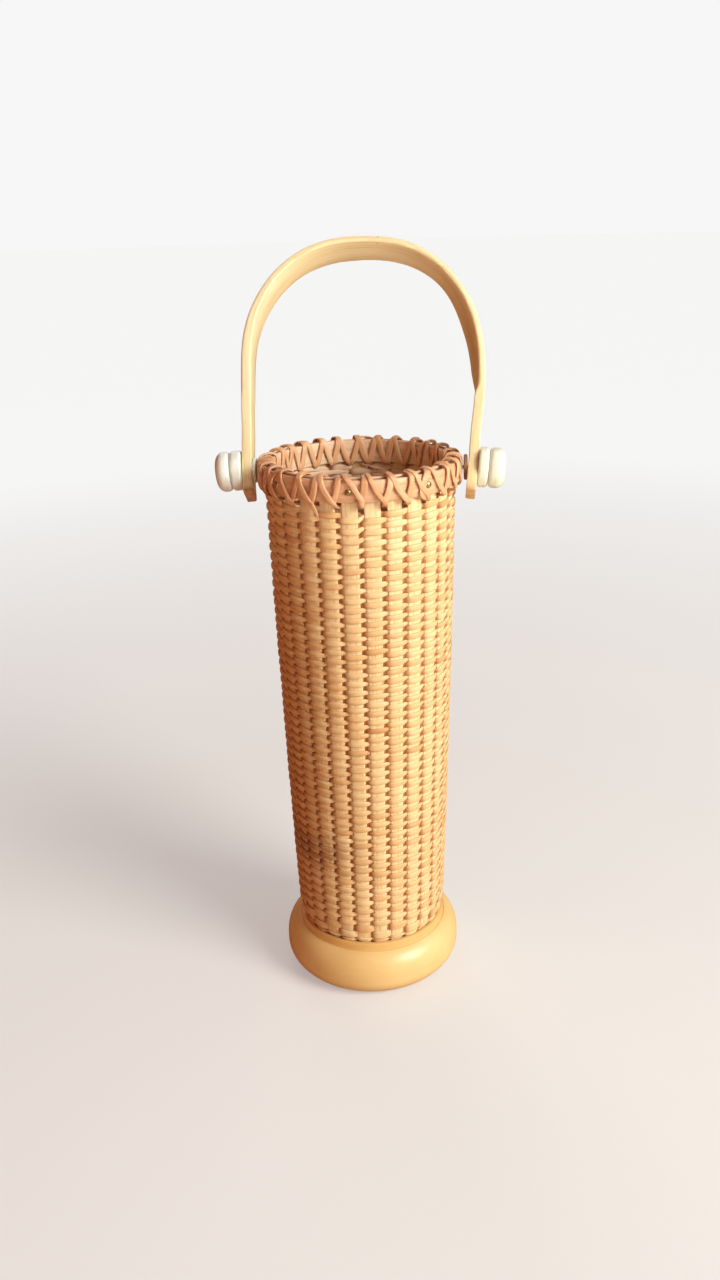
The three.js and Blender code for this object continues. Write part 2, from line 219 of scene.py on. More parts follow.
def smooth_noise(count, step, seed, closed=False):
    """A smooth random line of about unit size with one knot every step samples."""
    rng = np.random.default_rng(seed)
    knots = max(4, int(count / step) + 2)
    values = rng.normal(0, 1, knots)
    if closed:
        values[-1] = values[0]
    x = np.linspace(0, knots - 1, count)
    i = np.minimum(x.astype(int), knots - 2)
    t = x - i
    t = t * t * (3 - 2 * t)
    return values[i] * (1 - t) + values[i + 1] * t


def smoothstep(x, lo, hi):
    t = min(max((x - lo) / (hi - lo), 0), 1)
    return t * t * (3 - 2 * t)


def hump(h, amount, centre, reach):
    """A smooth offset that is strongest at the height 'centre'."""
    return amount * np.exp(-((h - centre) / reach) ** 2)


def run_length(points):
    """How far along a line of points each one lies."""
    return np.concatenate([[0], np.cumsum(np.linalg.norm(np.diff(points, axis=0), axis=1))])


def unit(vectors):
    return vectors / np.linalg.norm(vectors, axis=1, keepdims=True)


def round_axis(radius, angle, height):
    """Points in space from radius, angle and height."""
    return np.stack([radius * np.cos(angle), radius * np.sin(angle), height], axis=1)


def flat_band(name, pos, outward, section, half_t, half_w, material, slot, cad, sharp, **values):
    """A flat section carried along a line, as thick and as wide as it is at each point.

    A value is one number for the whole band or one for each point of the line.
    """
    tangent = unit(np.gradient(pos, axis=0))
    wide = unit(np.cross(tangent, outward))
    normal = np.cross(wide, tangent)
    thick = (section[:, 0][None, :] * half_t[:, None])[..., None]
    across = (section[:, 1][None, :] * half_w[:, None])[..., None]
    verts = pos[:, None, :] + normal[:, None, :] * thick + wide[:, None, :] * across
    count, sides = len(pos), len(section)
    attrs = {"along": np.repeat(run_length(pos), sides), "across": np.tile(section[:, 1], count)}
    for key, value in values.items():
        attrs[key] = np.repeat(np.broadcast_to(value, count), sides)
    piece(name, verts, tube_faces(count, sides), material, "basket", cad, attrs, sharp)


# Material helpers

class Shade:
    """A node material with short calls for the nodes used here."""

    def __init__(self, name, metallic=0.0):
        self.material = bpy.data.materials.new(name)
        self.material.use_nodes = True
        self.tree = self.material.node_tree
        self.bsdf = self.tree.nodes["Principled BSDF"]
        self.bsdf.inputs["Metallic"].default_value = metallic

    def link(self, source, target):
        if isinstance(source, (int, float)):
            target.default_value = source
        elif isinstance(source, tuple):
            target.default_value = source if len(source) != 3 or target.type != "RGBA" else (*source, 1)
        else:
            self.tree.links.new(source, target)

    def node(self, kind):
        return self.tree.nodes.new("ShaderNode" + kind)

    def attr(self, name):
        node = self.node("Attribute")
        node.attribute_name = name
        return node.outputs["Fac"]

    def place(self):
        return self.node("TexCoord").outputs["Object"]

    def split(self, vector):
        node = self.node("SeparateXYZ")
        self.link(vector, node.inputs[0])
        return node.outputs

    def join(self, x, y, z):
        node = self.node("CombineXYZ")
        for source, target in zip((x, y, z), node.inputs):
            self.link(source, target)
        return node.outputs[0]

    def math(self, kind, a, b=0.0, c=None, clamp=False):
        node = self.node("Math")
        node.operation = kind
        node.use_clamp = clamp
        self.link(a, node.inputs[0])
        self.link(b, node.inputs[1])
        if c is not None:
            self.link(c, node.inputs[2])
        return node.outputs[0]

    def times(self, a, b, clamp=False):
        return self.math("MULTIPLY", a, b, clamp=clamp)

    def linear(self, value, slope, offset, clamp=False):
        return self.math("MULTIPLY_ADD", value, slope, offset, clamp)

    def noise(self, vector, scale, detail, rough):
        node = self.node("TexNoise")
        self.link(vector, node.inputs["Vector"])
        node.inputs["Scale"].default_value = scale
        node.inputs["Detail"].default_value = detail
        node.inputs["Roughness"].default_value = rough
        return node.outputs["Fac"]

    def ramp(self, fac, stops):
        node = self.node("ValToRGB")
        while len(node.color_ramp.elements) < len(stops):
            node.color_ramp.elements.new(0.5)
        for element, (place, color) in zip(node.color_ramp.elements, stops):
            element.position = place
            element.color = (*color, 1) if isinstance(color, tuple) else (color, color, color, 1)
        self.link(fac, node.inputs[0])
        return node.outputs[0]

    def mix(self, fac, a, b, kind="MIX"):
        node = self.node("Mix")
        node.data_type = "RGBA"
        node.blend_type = kind
        self.link(fac, node.inputs["Factor"])
        self.link(a, node.inputs[6])
        self.link(b, node.inputs[7])
        return node.outputs[2]

    def span(self, value, start, end):
        """0 where the value is 'start', 1 where it is 'end', and even between them."""
        run = end - start
        return self.linear(value, 1 / run, -start / run, clamp=True)

    def tinted(self, fac, color, tint):
        """The color, multiplied by a tint as far as the factor says."""
        return self.mix(fac, color, self.mix(1.0, color, tint, "MULTIPLY"))

    def bump(self, height, strength, distance):
        node = self.node("Bump")
        node.inputs["Strength"].default_value = strength
        node.inputs["Distance"].default_value = distance
        self.link(height, node.inputs["Height"])
        return node.outputs[0]

    def done(self, color, roughness, normal=None, **sockets):
        self.link(color, self.bsdf.inputs["Base Color"])
        self.link(roughness, self.bsdf.inputs["Roughness"])
        if normal is not None:
            self.link(normal, self.bsdf.inputs["Normal"])
        for key, value in sockets.items():
            self.bsdf.inputs[key.replace("_", " ")].default_value = value
        return self.material


def painted_left_shade(s, color):
    """Painted shade: the wall is darker and redder on its left side, and most of all lower down."""
    x, y, z = s.split(s.place())
    left = s.span(x, -0.0147, -0.0441)
    low = s.span(z, 0.32, 0.0978)
    return s.tinted(s.times(left, low), color, (0.73, 0.52, 0.34))


def water_stain(s, color):
    """A ragged brown band low on the left of the front, like the stain in the photo."""
    x, y, z = s.split(s.place())
    off = s.math("ABSOLUTE", s.math("SUBTRACT", z, STAIN_Z * MM))
    cloud = s.noise(s.place(), 90.0, 2, 0.5)
    cover = s.times(s.span(off, 0.01444, 0.00333), s.span(cloud, 0.1875, 0.604), clamp=True)
    left = s.span(x, 0.0096, -0.0288)
    front = s.span(y, -0.00333, -0.01167)
    cover = s.times(cover, s.times(left, front))
    return s.mix(s.times(cover, 0.85), color, (0.34, 0.15, 0.065))


def scaled(s, x, y, z, by_x, by_y, by_z):
    """A place for a noise, drawn out along one axis and squeezed along the others."""
    return s.join(s.times(x, by_x), s.times(y, by_y), s.times(z, by_z))


def strand_material(name, pale, mid, dark, depth_tint, roughness, shaded_left=False):
    """Split cane: fibres along the strand, tone that drifts along it, and painted shade where it dives."""
    s = Shade(name)
    along, across, lane, depth = map(s.attr, ("along", "across", "lane", "depth"))
    fibre = s.noise(s.join(s.times(along, 0.09), s.times(across, 4.5), lane), 1.0, 3, 0.6)
    drift = s.noise(s.join(s.times(along, 0.022), lane, 3.7), 1.0, 3, 0.55)
    tone = s.linear(drift, 0.55, s.times(s.attr("tint"), 0.45))
    color = s.ramp(tone, [(0.3, dark), (0.44, mid), (0.6, pale)])
    streak = s.ramp(fibre, [(0.3, 0.8), (0.62, 1.06)])
    color = s.tinted(0.8, color, streak)
    # Painted shade on the left and low part of the wall, with the real water stain laid over it
    if shaded_left:
        color = water_stain(s, painted_left_shade(s, color))
    pith = s.mix(0.5, (0.86, 0.61, 0.44), streak, "MULTIPLY")
    color = s.mix(s.times(s.attr("inside"), 0.8), color, pith)
    # Painted shade where the strand dives into a gap or under other strands
    color = s.tinted(s.times(depth, 0.9, clamp=True), color, depth_tint)
    rough = s.linear(fibre, 0.24, roughness - 0.12)
    return s.done(color, rough, s.bump(fibre, 0.35, 0.00022))


def wood_knot(s, color, along, across, place, level, size):
    """A small dark knot at a place along the band and a level across it."""
    u = s.math("DIVIDE", s.math("SUBTRACT", along, place), size)
    v = s.math("DIVIDE", s.math("SUBTRACT", across, level), size * 0.7)
    far = s.math("SQRT", s.math("ADD", s.times(u, u), s.times(v, v)))
    return s.mix(s.ramp(far, [(0.3, 0.85), (0.9, 0.0)]), color, (0.3, 0.14, 0.05))


def grain_material(name, pale, mid, dark, roughness, length=0.012, width=1.4, coat=0.0, specks=0.0,
                   bump=0.25, knots=(), shaded_left=False):
    """Wood with its grain along the attribute 'along' and across 'across', both in millimetres."""
    s = Shade(name)
    along, across, lane = map(s.attr, ("along", "across", "lane"))
    wander = s.noise(s.join(s.times(along, 0.02), lane, 1.3), 1.0, 2, 0.5)
    side = s.linear(wander, 3.0, across)
    thin = s.join(s.times(along, length * 2.5), s.times(side, width * 2.2), lane)
    fine = s.noise(thin, 1.0, 4, 0.62)
    wide = s.join(s.times(along, length), s.times(side, width * 0.35), lane)
    broad = s.noise(wide, 1.0, 2, 0.5)
    tone = s.linear(broad, 0.6, s.times(fine, 0.4))
    color = s.ramp(tone, [(0.34, dark), (0.48, mid), (0.64, pale)])
    # Painted shade on the left and low part of the wall
    if shaded_left:
        color = painted_left_shade(s, color)
    if specks:
        dots = s.noise(s.join(s.times(along, 0.35), s.times(side, 1.6), 5.0), 1.0, 2, 0.5)
        color = s.mix(s.times(s.ramp(dots, [(0.66, 0.0), (0.74, 1.0)]), specks), color, dark)
    for knot in knots:
        color = wood_knot(s, color, along, across, *knot)
    # Darker where the attribute 'ends' is set: the lower ends of the handle arms, the inner faces of the
    # staves, and painted shade in the rim groove
    ends = s.times(s.attr("ends"), s.linear(fine, 0.9, 0.45), clamp=True)
    color = s.tinted(ends, color, (0.62, 0.4, 0.3))
    rough = s.linear(fine, 0.16, roughness - 0.08)
    return s.done(color, rough, s.bump(fine, bump, 0.0002), Coat_Weight=coat, Coat_Roughness=0.18)


def turned_wood_material():
    """Honey-coloured turned block: soft figure from one plank, with painted shade in the crease and on the
    neck.
    """
    s = Shade("turned_wood")
    spot = s.place()
    x, y, z = s.split(spot)
    warp = s.noise(spot, 14.0, 2, 0.5)
    line = s.linear(warp, 0.02, y)
    growth = s.noise(scaled(s, x, line, z, 5.0, 95.0, 60.0), 1.0, 3, 0.55)
    fine = s.noise(scaled(s, x, line, z, 40.0, 900.0, 500.0), 1.0, 3, 0.6)
    cloud = s.noise(spot, 24.0, 2, 0.5)
    tone = s.linear(growth, 0.35, s.linear(fine, 0.15, s.times(cloud, 0.5)))
    honey = [(0.3, (0.76, 0.475, 0.17)), (0.48, (0.86, 0.59, 0.24)), (0.68, (0.91, 0.665, 0.31))]
    color = s.ramp(tone, honey)
    # Painted shade on the neck, under the overhang of the weave
    color = s.tinted(s.span(z, 0.026857, 0.027571), color, (0.93, 0.82, 0.68))
    # Painted shade along the fine crease over the foot
    off = s.math("ABSOLUTE", s.math("SUBTRACT", z, CREASE_H * MM))
    crease_shade = s.span(off, 0.000238, 0.0)
    color = s.mix(s.times(crease_shade, 0.3), color, (0.42, 0.2, 0.06))
    rough = s.linear(cloud, 0.14, 0.29)
    return s.done(color, rough, s.bump(fine, 0.06, 0.0002), Coat_Weight=0.25, Coat_Roughness=0.3)


def bone_material():
    """Cream bone with faint lines across the knobs. The left end is painted whiter than the right one, to
    make up for the red light on that side.
    """
    s = Shade("bone")
    spot = s.place()
    x, y, z = s.split(spot)
    lines = s.noise(scaled(s, x, y, z, 700.0, 60.0, 60.0), 1.0, 3, 0.5)
    cloud = s.noise(spot, 90.0, 2, 0.5)
    tone = s.linear(cloud, 0.6, s.times(lines, 0.4))
    color = s.ramp(tone, [(0.3, (0.8, 0.85, 0.62)), (0.48, (0.85, 0.925, 0.79)), (0.7, (0.88, 0.95, 0.87))])
    # Painted light: a whiter copy of the bone for the left end
    painted_whiter = s.ramp(tone, [(0.3, (0.8, 0.92, 0.78)), (0.48, (0.86, 0.96, 0.92)), (0.7, (0.88, 0.97, 0.96))])
    color = s.mix(s.math("LESS_THAN", x, 0.0), color, painted_whiter)
    rough = s.linear(cloud, 0.14, 0.24)
    return s.done(color, rough, s.bump(lines, 0.05, 0.0001), Subsurface_Weight=0.12, Subsurface_Scale=0.004)


def brass_material():
    """Dull brass with darker clouds."""
    s = Shade("aged_brass", metallic=1.0)
    cloud = s.noise(s.place(), 900.0, 3, 0.6)
    color = s.ramp(cloud, [(0.35, (0.4, 0.34, 0.14)), (0.6, (0.76, 0.66, 0.33))])
    rough = s.linear(cloud, 0.2, 0.1)
    return s.done(color, rough, s.bump(cloud, 0.03, 0.0001))


CANE = strand_material("woven_cane", (0.91, 0.68, 0.36), (0.84, 0.55, 0.255), (0.68, 0.36, 0.14),
                       (0.46, 0.22, 0.11), 0.44, shaded_left=True)
STRAP = strand_material("lashing_cane", (0.85, 0.53, 0.3), (0.75, 0.395, 0.195), (0.53, 0.235, 0.1),
                        (0.7, 0.5, 0.4), 0.4)
STAVE = grain_material("stave_wood", (0.95, 0.79, 0.49), (0.91, 0.7, 0.38), (0.74, 0.48, 0.22),
                       0.48, length=0.02, width=2.4, bump=0.5, shaded_left=True)
HOOP = grain_material("hoop_wood", (0.81, 0.53, 0.33), (0.75, 0.45, 0.26), (0.57, 0.295, 0.14),
                      0.42, width=1.2, bump=0.3)
# A paler copy of the hoop wood for the inner hoop: painted light for the dim inside of the rim
HOOP_PAINTED_PALER = grain_material("hoop_wood_painted_paler", (0.9, 0.68, 0.48), (0.86, 0.61, 0.41), (0.7, 0.44, 0.27),
                             0.42, width=1.2, bump=0.3)
HANDLE = grain_material("handle_wood", (0.93, 0.83, 0.54), (0.89, 0.745, 0.43), (0.73, 0.52, 0.24),
                        0.38, length=0.008, width=0.45, coat=0.18, specks=0.25, bump=0.06,
                        knots=((165.4, -8.6, 0.75), (141.3, -8.3, 0.6)))
# The right washer: dark brown, painted shade for its place in the shadow of the arm
WASHER_SHADED = grain_material("washer_painted_dark", (0.4, 0.22, 0.1), (0.33, 0.165, 0.07), (0.2, 0.09, 0.035), 0.45)
TURNED = turned_wood_material()
BONE = bone_material()
BRASS = brass_material()


# The woven body

def weave_radius(z):
    z = np.asarray(z, dtype=float)
    rise = np.clip((z - WEAVE_FOOT) / (WEAVE_TOP - WEAVE_FOOT), 0, 1)
    tuck = np.clip(1 - (z - WEAVE_FOOT) / FOOT_TUCK_H, 0, 1)
    cone = WEAVE_FOOT_R + (WEAVE_TOP_R - WEAVE_FOOT_R) * rise
    return cone + 4 * WEAVE_BELLY * rise * (1 - rise) - FOOT_TUCK * tuck ** 2


def stave_radius(z):
    return weave_radius(z) - WALL / 2


def stave_width(z):
    rise = np.clip((np.asarray(z, dtype=float) - WEAVE_FOOT) / (WEAVE_TOP - WEAVE_FOOT), 0, 1)
    return STAVE_FOOT_W + (STAVE_TOP_W - STAVE_FOOT_W) * rise


# Width of the weaver: thin starting rows, two wide ones, then fine cane, packed tighter mid-way
START_TURNS, START_WIDTHS = [0, 1.6, 2.1, 3.9, 4.6], [1.15, 1.5, 4.4, 4.4, 2.62]
FINE_HEIGHTS = [40, 60, 95, 130, 180, 220, 250, 275]
FINE_WIDTHS = [2.66, 2.66, 2.56, 2.48, 2.38, 2.42, 2.5, 2.55]

# Where the weaver has its rings, as shares of the way from one stave to the next
STEPS = [0.0, 0.1, 0.2, 0.28, 0.35, 0.42, 0.5, 0.58, 0.65, 0.72, 0.8, 0.9]
PER_TURN = len(STEPS) * STAVES
START_STAVE = 7
MOST_TURNS = 110
EASED_TURNS = 14
DRAWS = 4096

# Section of split cane: round on the bark side, which faces out, and flat on the other
CANE_SECTION = np.array([
    (1.0, 0.0), (0.93, 0.36), (0.72, 0.68), (0.34, 0.9), (-0.2, 1.0), (-0.8, 0.86),
    (-0.95, 0.3), (-0.95, -0.3), (-0.8, -0.86), (-0.2, -1.0), (0.34, -0.9), (0.72, -0.68), (0.93, -0.36)])


def row_width(turn, z):
    start = np.interp(turn, START_TURNS, START_WIDTHS)
    return np.where(turn < START_TURNS[-1], start, np.interp(z, FINE_HEIGHTS, FINE_WIDTHS))


def weave_edge(angle):
    """Height where the weave stops: low at the front, and dipping where the straps pass through."""
    front = max(0.0, math.cos(angle + math.pi / 2))
    dip = math.sin(math.pi * angle / PITCH) ** 2 * (1 - front)
    return 277.3 - 3.3 * front ** 1.5 - 0.9 * dip


def wind(total, wobble, angles, extra=None):
    """Lower and upper edge of the weaver along its run, each turn laid on the one below."""
    low, high = [], []
    for i in range(total):
        below = WEAVE_FOOT + 0.1 if i < PER_TURN else high[i - PER_TURN]
        width = float(row_width(i / PER_TURN, below)) * (1 + 0.03 * wobble[i])
        if extra is None and below + 0.6 * width > weave_edge(angles[i]):
            break
        width += 0 if extra is None else extra[i]
        low.append(below)
        high.append(below + width)
    return np.array(low), np.array(high)


def wound_rows():
    """Wound once to find the last row, then again with the last rows eased to end at the edge."""
    limit = MOST_TURNS * PER_TURN
    wobble = smooth_noise(limit, len(STEPS) * 3.3, 5)
    angles = [(i // len(STEPS) + STEPS[i % len(STEPS)] + START_STAVE) * PITCH for i in range(limit)]
    low, high = wind(limit, wobble, angles)
    count = len(low)
    short = np.array([weave_edge(angles[i]) - high[i] for i in range(count - PER_TURN, count)])
    extra = np.zeros(count)
    for i in range(count - EASED_TURNS * PER_TURN, count):
        extra[i] = short[(i - count) % PER_TURN] / EASED_TURNS
    low, high = wind(count, wobble, angles, extra)
    kernel = np.ones(5) / 5
    low[2:-2] = np.convolve(low, kernel, "valid")
    high[2:-2] = np.convolve(high, kernel, "valid")
    return low, high


def build_weave():
    """One long weaver over and under every stave, wound up the wall as a spiral."""
    low, high = wound_rows()
    count = len(low)
    idx = np.arange(count)
    s = idx // len(STEPS) + np.array(STEPS)[idx % len(STEPS)]
    nearest = np.round(s).astype(int)
    u = np.abs(s - nearest)
    sign = np.where(nearest % 2 == 0, 1.0, -1.0)
    mid = (low + high) / 2
    lane_width = high - low
    fine = np.clip((4.2 - lane_width) / 1.4, 0, 1)
    # The strand flattens and spreads where it lies over a stave and is squeezed in the gaps
    spread = 1.03 + (0.03 + 0.2 * fine) * np.cos(np.pi * u) ** 0.8
    half_w = lane_width / 2 * spread
    lift = RNG.normal(0, 0.06, DRAWS)[nearest % DRAWS]
    tip = RNG.normal(0, 0.09, DRAWS)[nearest % DRAWS]
    sag = RNG.normal(0, 0.1, DRAWS)[nearest % DRAWS]
    half_t = np.interp(lane_width, [0.7, 2.4, 4.6], [0.4, 0.5, 0.4])
    shape = np.tanh(1.35 * np.cos(np.pi * u)) / np.tanh(1.35)
    offset = sign * (STAVE_T / 2 + half_t + 0.03 + lift) * shape
    mid = mid + sag * np.cos(np.pi * u) * fine
    radius = stave_radius(mid) + offset
    angle = (s + START_STAVE) * PITCH
    x, y = radius * np.cos(angle), radius * np.sin(angle)
    tx, ty = np.gradient(x), np.gradient(y)
    norm = np.hypot(tx, ty)
    nx, ny = ty / norm, -tx / norm
    # One over-row in six or so is a slightly darker length of cane
    pick = np.random.default_rng(77)
    each = 0.5 + np.clip(pick.normal(0, 0.085, DRAWS), -0.15, 0.16) - 0.05 * (pick.random(DRAWS) < 0.17)
    sides = len(CANE_SECTION)
    out = CANE_SECTION[:, 0][None, :] * half_t[:, None]
    out = out + (tip * shape * sign)[:, None] * CANE_SECTION[:, 1][None, :]
    verts = np.empty((count, sides, 3))
    verts[..., 0] = x[:, None] + nx[:, None] * out
    verts[..., 1] = y[:, None] + ny[:, None] * out
    verts[..., 2] = mid[:, None] + CANE_SECTION[:, 1][None, :] * half_w[:, None]
    # Painted shade where the strand comes up out of a gap, and little where it runs on into the next, as if
    # the light came from that side
    depth = np.clip(1 - np.abs(shape), 0, 1) ** 1.1 * (0.62 - 0.55 * np.sin(np.pi * s))
    # Runs on the inside keep at least a little painted shade
    depth = np.where(sign > 0, depth, np.maximum(depth, 0.12))
    attrs = {
        "along": np.repeat(run_length(np.stack([x, y], axis=1)), sides),
        "across": np.tile(CANE_SECTION[:, 1], count),
        "lane": np.repeat(np.floor(s / STAVES) * 0.37, sides),
        "depth": np.repeat(depth, sides),
        "tint": np.repeat(each[nearest % DRAWS], sides),
        # The flat side, which faces in, is the pinker pith of the cane
        "inside": np.tile((CANE_SECTION[:, 0] < -0.5) * 1.0, count),
    }
    piece("weave", verts, tube_faces(count, sides), CANE, "basket",
          "woven_wall", attrs, sharp=0)


def stave_outline(half_w):
    """Section of a stave: flat inside, a low crown outside, in (outward, sideways) millimetres."""
    edge, crown = 0.1, 0.5
    shares = [-0.97, -0.8, -0.5, -0.2, 0.2, 0.5, 0.8, 0.97]
    face = [(edge + crown * (1 - k * k), k * half_w) for k in shares]
    back = -STAVE_T / 2
    return np.array([(edge - 0.12, -half_w)] + face + [(edge - 0.12, half_w), (back + 0.12, half_w),
                    (back, half_w - 0.15), (back, -half_w + 0.15), (back + 0.12, -half_w)])


def build_staves():
    heights = np.concatenate([[STAVE_BOTTOM, WEAVE_FOOT], np.linspace(WEAVE_FOOT + 4, RIM_FOOT, 26),
                              [RIM_MID, STAVE_TOP - 0.4, STAVE_TOP]])
    last = len(heights) - 1
    for number in range(STAVES):
        rng = np.random.default_rng(100 + number)
        angle = number * PITCH
        out = np.array([math.cos(angle), math.sin(angle), 0])
        side = np.array([-out[1], out[0], 0])
        widen = 1 + rng.normal(0, 0.015)
        wave = smooth_noise(len(heights), 5, 300 + number) * 0.06
        rings, across = [], []
        for k, z in enumerate(heights):
            half_w = (float(stave_width(z)) / 2 * widen + wave[k]) * (0.96 if k == last else 1)
            if z < COLLAR_H + 0.2:
                half_w = min(half_w, STAVE_GROOVE_W / 2)
            outline = stave_outline(half_w)
            outline[:, 0] *= 0.85 if k == last else 1
            centre = out * float(stave_radius(z)) + np.array([0, 0, z])
            rings.append(centre + outline[:, :1] * out + outline[:, 1:] * side)
            across.append(outline[:, 1])
        rings = np.array(rings)
        sides = rings.shape[1]
        attrs = {
            "along": np.repeat(heights, sides),
            "across": np.concatenate(across),
            "lane": np.full(len(heights) * sides, number * 1.7),
            "ends": np.tile([0.0] * (sides - 4) + [0.15, 0.25, 0.25, 0.15], len(heights)),
        }
        name = f"stave_{number + 1:02d}"
        faces = [list(reversed(f)) for f in tube_faces(len(heights), sides)]
        piece(f"stave_strip_{number + 1:02d}", rings, faces,
              STAVE, "basket", name, attrs, sharp=50)


# Rim

def hoop_sections():
    """Closed sections of the two hoops: the outer one rounded on its face, the inner one flat."""
    mid = (RIM_FOOT + RIM_TOP) / 2
    crown = (HOOP_OUT - HOOP_IN) / 2
    outer = [(HOOP_IN, RIM_FOOT + 0.3), (HOOP_IN + 0.25, RIM_FOOT)]
    outer += arc(HOOP_OUT - crown, mid, crown, (RIM_TOP - RIM_FOOT) / 2, -84, 84, 14)
    outer += [(HOOP_IN + 0.25, RIM_TOP), (HOOP_IN, RIM_TOP - 0.3), (HOOP_IN, mid)]
    inner = [(INNER_OUT - 0.3, INNER_FOOT), (INNER_OUT, INNER_FOOT + 0.3), (INNER_OUT, RIM_MID),
             (INNER_OUT, INNER_TOP - 0.75), (INNER_OUT, INNER_TOP - 0.4), (INNER_OUT - 0.4, INNER_TOP)]
    centre = INNER_IN + INNER_ROUND
    inner += arc(centre, INNER_TOP - INNER_ROUND, INNER_ROUND, INNER_ROUND, 90, 180, 4)
    inner += [(INNER_IN, RIM_MID)]
    inner += arc(centre, INNER_FOOT + INNER_ROUND, INNER_ROUND, INNER_ROUND, 180, 270, 4)
    return np.array(outer), np.array(inner)


def build_hoops():
    segments = 360
    outer, inner = hoop_sections()
    for name, section, cad, seed, wood in (
        ("hoop_outside", outer, "outer_hoop", 21, HOOP),
        ("hoop_inside", inner, "inner_hoop", 22, HOOP_PAINTED_PALER),
    ):
        verts, faces = ring_lathe(section, segments)
        wave = smooth_noise(segments, 30, seed, closed=True) * 0.1
        verts[..., 2] += wave[:, None]
        around = np.repeat(np.arange(segments) * 2 * math.pi / segments * RIM_MEAN_R, len(section))
        # Painted shade and dirt in the groove over the stave tops
        between = (section[:, 0] > INNER_OUT - 0.05) & (section[:, 0] < HOOP_IN + 0.05)
        groove_shade = between & (section[:, 1] < INNER_TOP - 0.6)
        attrs = {
            "along": around,
            "across": np.tile(run_length(section), segments),
            "lane": np.full(len(around), seed * 1.0),
            "ends": np.tile(groove_shade * 1.0, segments),
        }
        piece(name, verts, faces, wood, "basket", cad, attrs, sharp=50)


# One turn of a strap round the rim: how far it has gone to the next gap at each stop, as shares of
# its way up the outside (first seven) and of its way down the inside (last five)
OVER_OUT, OVER_IN = [0.0, 0.04, 0.27, 0.6, 0.82, 0.92, 1.0], [0.1, 0.25, 0.5, 0.8, 0.95]
UNDER_OUT, UNDER_IN = [0.0, 0.05, 0.2, 0.5, 0.8, 0.9, 1.0], [0.05, 0.175, 0.5, 0.85, 0.96]
# The same stops as radius and height
WRAP_STOPS = [
    (45.9, 277.15), (48.6, 277.75), (49.75, 280.2), (50.05, 284.4), (49.75, 288.3), (48.5, 290.25),
    (45.8, 291.05), (43.2, 290.95), (41.75, 289.0), (41.55, 284.2), (41.7, 279.6), (43.2, 277.5),
]
WRAP_LOW = 277.2

# Section of a strap, rounded on the side that faces out
STRAP_SECTION = np.array([
    (1.0, 0.0), (0.95, 0.4), (0.8, 0.72), (0.35, 0.95), (-0.35, 1.0), (-0.9, 0.8), (-0.95, 0.3),
    (-0.95, -0.3), (-0.9, -0.8), (-0.35, -1.0), (0.35, -0.95), (0.8, -0.72), (0.95, -0.4)])


def catmull(points, per_span):
    """A smooth line through all points but the first and the last, sampled evenly in each span."""
    points = np.asarray(points, dtype=float)
    p0, p1, p2, p3 = points[:-3], points[1:-2], points[2:-1], points[3:]
    out = []
    for t in np.arange(per_span) / per_span:
        out.append(0.5 * (2 * p1 + (p2 - p0) * t + (2 * p0 - 5 * p1 + 4 * p2 - p3) * t * t
                          + (3 * p1 - p0 - 3 * p2 + p3) * t ** 3))
    return np.stack(out, axis=1).reshape(-1, points.shape[1])


def clear_of_pegs(angle, height, radius):
    """Where a strap would cross a pin or a nail, it passes close beside it in one long easy bend."""
    out = angle.copy()
    rise = height - PIN_Z
    index = np.arange(len(out))
    for turns in (0, STAVES / 2, *NAIL_TURNS):
        nail = turns in NAIL_TURNS
        aside = ((angle - turns * PITCH + math.pi) % (2 * math.pi) - math.pi) * HOOP_OUT
        near = np.flatnonzero((np.abs(aside) < 8) & (np.abs(rise) < 6) & ((radius > 47) | (not nail)))
        for run in np.split(near, np.flatnonzero(np.diff(near) > 1) + 1):
            if not len(run):
                continue
            level = run[np.argmin(np.abs(rise[run]))]
            side = math.copysign(1, aside[run[np.argmin(height[run])]])
            push = side * (STRAP_TO_NAIL if nail else STRAP_TO_PIN) - aside[level]
            if push * side > 0:
                hold = np.clip((height - WRAP_LOW) / 3.5, 0, 1)
                out += push * hold * np.exp(-((index - level) / 12.0) ** 2) / HOOP_OUT
    kernel = np.array([1, 2, 3, 2, 1]) / 9
    out[2:-2] = np.convolve(out, kernel, "valid")
    return out


def strap_stops(direction, outside, inside, lift_top, seed):
    """Stops of one strap, wound once round both hoops at every gap between staves.

    Each has its radius, its height, its angle and how far through its turn it is.
    """
    rng = np.random.default_rng(seed)
    stops = []
    for wrap in range(STAVES):
        jitter = rng.normal(0, 0.045)
        slack = abs(rng.normal(0, 0.16))
        lean = rng.normal(0, 0.05)
        front = math.cos(direction * (wrap + 0.5) * PITCH + math.pi / 2)
        way_up = 0.595 + 0.195 * front + lean
        if direction > 0:
            way_up = 1 - way_up
        shares = [way_up * k for k in outside] + [way_up + (1 - way_up) * k for k in inside]
        for k, ((radius, z), share) in enumerate(zip(WRAP_STOPS, shares)):
            free = 0.0 if k in (0, 1, 11) else 1.0
            near_top = max(0.0, 1 - abs(k - 5.5) / 3.0)
            near_low = 1.0 if k in (0, 1, 2, 11) else 0.0
            outward = 1 if k < 6 else -1
            r = radius + outward * lift_top * (0.35 * near_top + 0.5 * near_low * (k < 6))
            r += slack * free * (1.0 if k < 6 else -0.2)
            height = z + lift_top * near_top * 0.9 - lift_top * 0.35 * near_low + slack * near_top
            spin = wrap + 0.5 + share + jitter * free - 0.06 * (k in (0, 1, 2))
            stops.append((r, height, direction * spin * PITCH, k / 12))
    stops = np.array(stops)
    first, last = stops[:1].copy(), stops[-1:].copy()
    first[0, 2] -= direction * 0.01 * PITCH
    first[0, 0] -= 1.5
    last[0, 2] += direction * 0.01 * PITCH
    last[0, 0] += 1.5
    return np.concatenate([first, stops, last])


